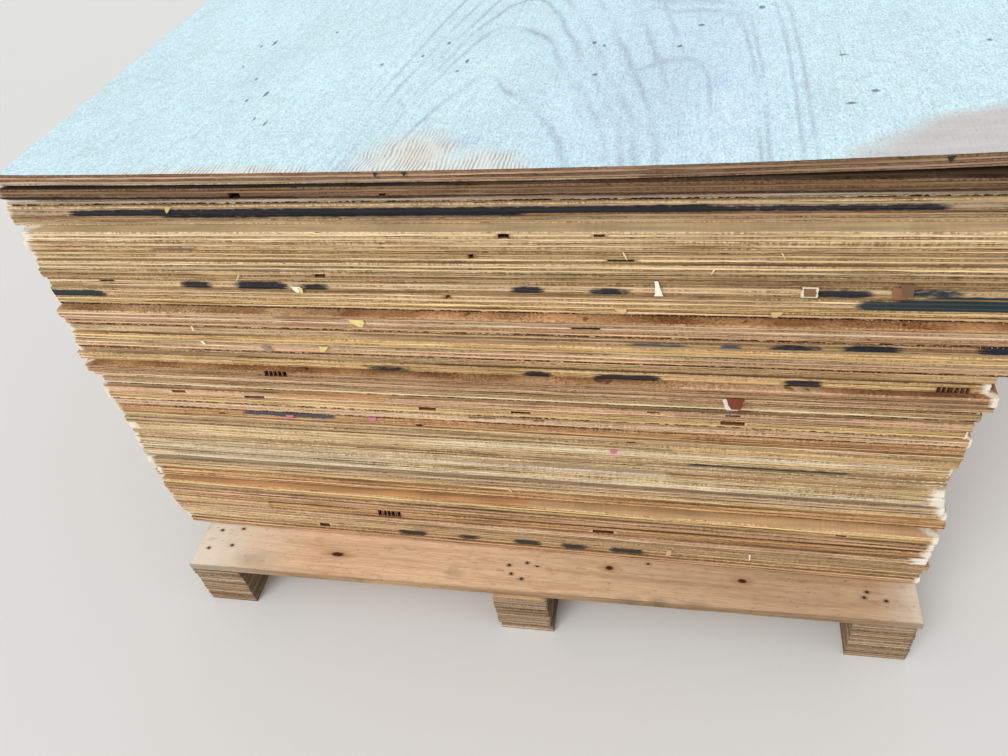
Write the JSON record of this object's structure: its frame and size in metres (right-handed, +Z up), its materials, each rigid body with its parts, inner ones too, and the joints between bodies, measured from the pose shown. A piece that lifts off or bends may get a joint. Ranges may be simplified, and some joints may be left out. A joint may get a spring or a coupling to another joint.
{
  "type": "stack of plywood sheets",
  "caption": "Stack of full-size plywood sheets, slightly out of square, on a low skid of laminated runners and cross boards.",
  "frame": {"origin": "on the ground, under the centre of the load's bounding box", "axes": "+X along the sheets' short edges to the right, +Y along their long edges from front to back, +Z up"},
  "size_m": [1.2598, 2.5302, 0.8183],
  "materials": {
    "sheet_wood": "raw softwood plywood, sawn edges with visible plies",
    "top_sheet_wood": "weathered pale grey veneer face",
    "deck_wood": "raw softwood board with small knots",
    "runner_wood": "raw laminated softwood",
    "nail_steel": "dark weathered steel"
  },
  "bodies": {
    "root": {"sheet_01": "sheet_wood", "sheet_02": "sheet_wood", "sheet_03": "sheet_wood", "sheet_04": "sheet_wood", "sheet_05": "sheet_wood", "sheet_06": "sheet_wood", "sheet_07": "sheet_wood", "sheet_08": "sheet_wood", "sheet_09": "sheet_wood", "sheet_10": "sheet_wood", "sheet_11": "sheet_wood", "sheet_12": "sheet_wood", "sheet_13": "sheet_wood", "sheet_14": "sheet_wood", "sheet_15": "sheet_wood", "sheet_16": "sheet_wood", "sheet_17": "sheet_wood", "sheet_18": "sheet_wood", "sheet_19": "sheet_wood", "sheet_20": "sheet_wood", "sheet_21": "sheet_wood", "sheet_22": "sheet_wood", "sheet_23": "sheet_wood", "sheet_24": "sheet_wood", "sheet_25": "sheet_wood", "sheet_26": "sheet_wood", "sheet_27": "sheet_wood", "sheet_28": "sheet_wood", "sheet_29": "sheet_wood", "sheet_30": "sheet_wood", "sheet_31": "sheet_wood", "sheet_32": "sheet_wood", "sheet_33": "sheet_wood", "sheet_34": "sheet_wood", "sheet_35": "sheet_wood", "sheet_36": "sheet_wood", "sheet_37": "sheet_wood", "sheet_38": "sheet_wood", "sheet_39": "sheet_wood", "sheet_40": "sheet_wood", "sheet_41": "sheet_wood", "sheet_42": "sheet_wood", "sheet_43": "sheet_wood", "sheet_44": "sheet_wood", "sheet_45": "sheet_wood", "sheet_46": "sheet_wood", "sheet_47": "sheet_wood", "sheet_48": "top_sheet_wood", "deck_board_1": "deck_wood", "deck_board_2": "deck_wood", "deck_board_3": "deck_wood", "deck_board_4": "deck_wood", "deck_board_5": "deck_wood", "runner_left": "runner_wood", "runner_middle": "runner_wood", "runner_right": "runner_wood"}
  },
  "joints": []
}
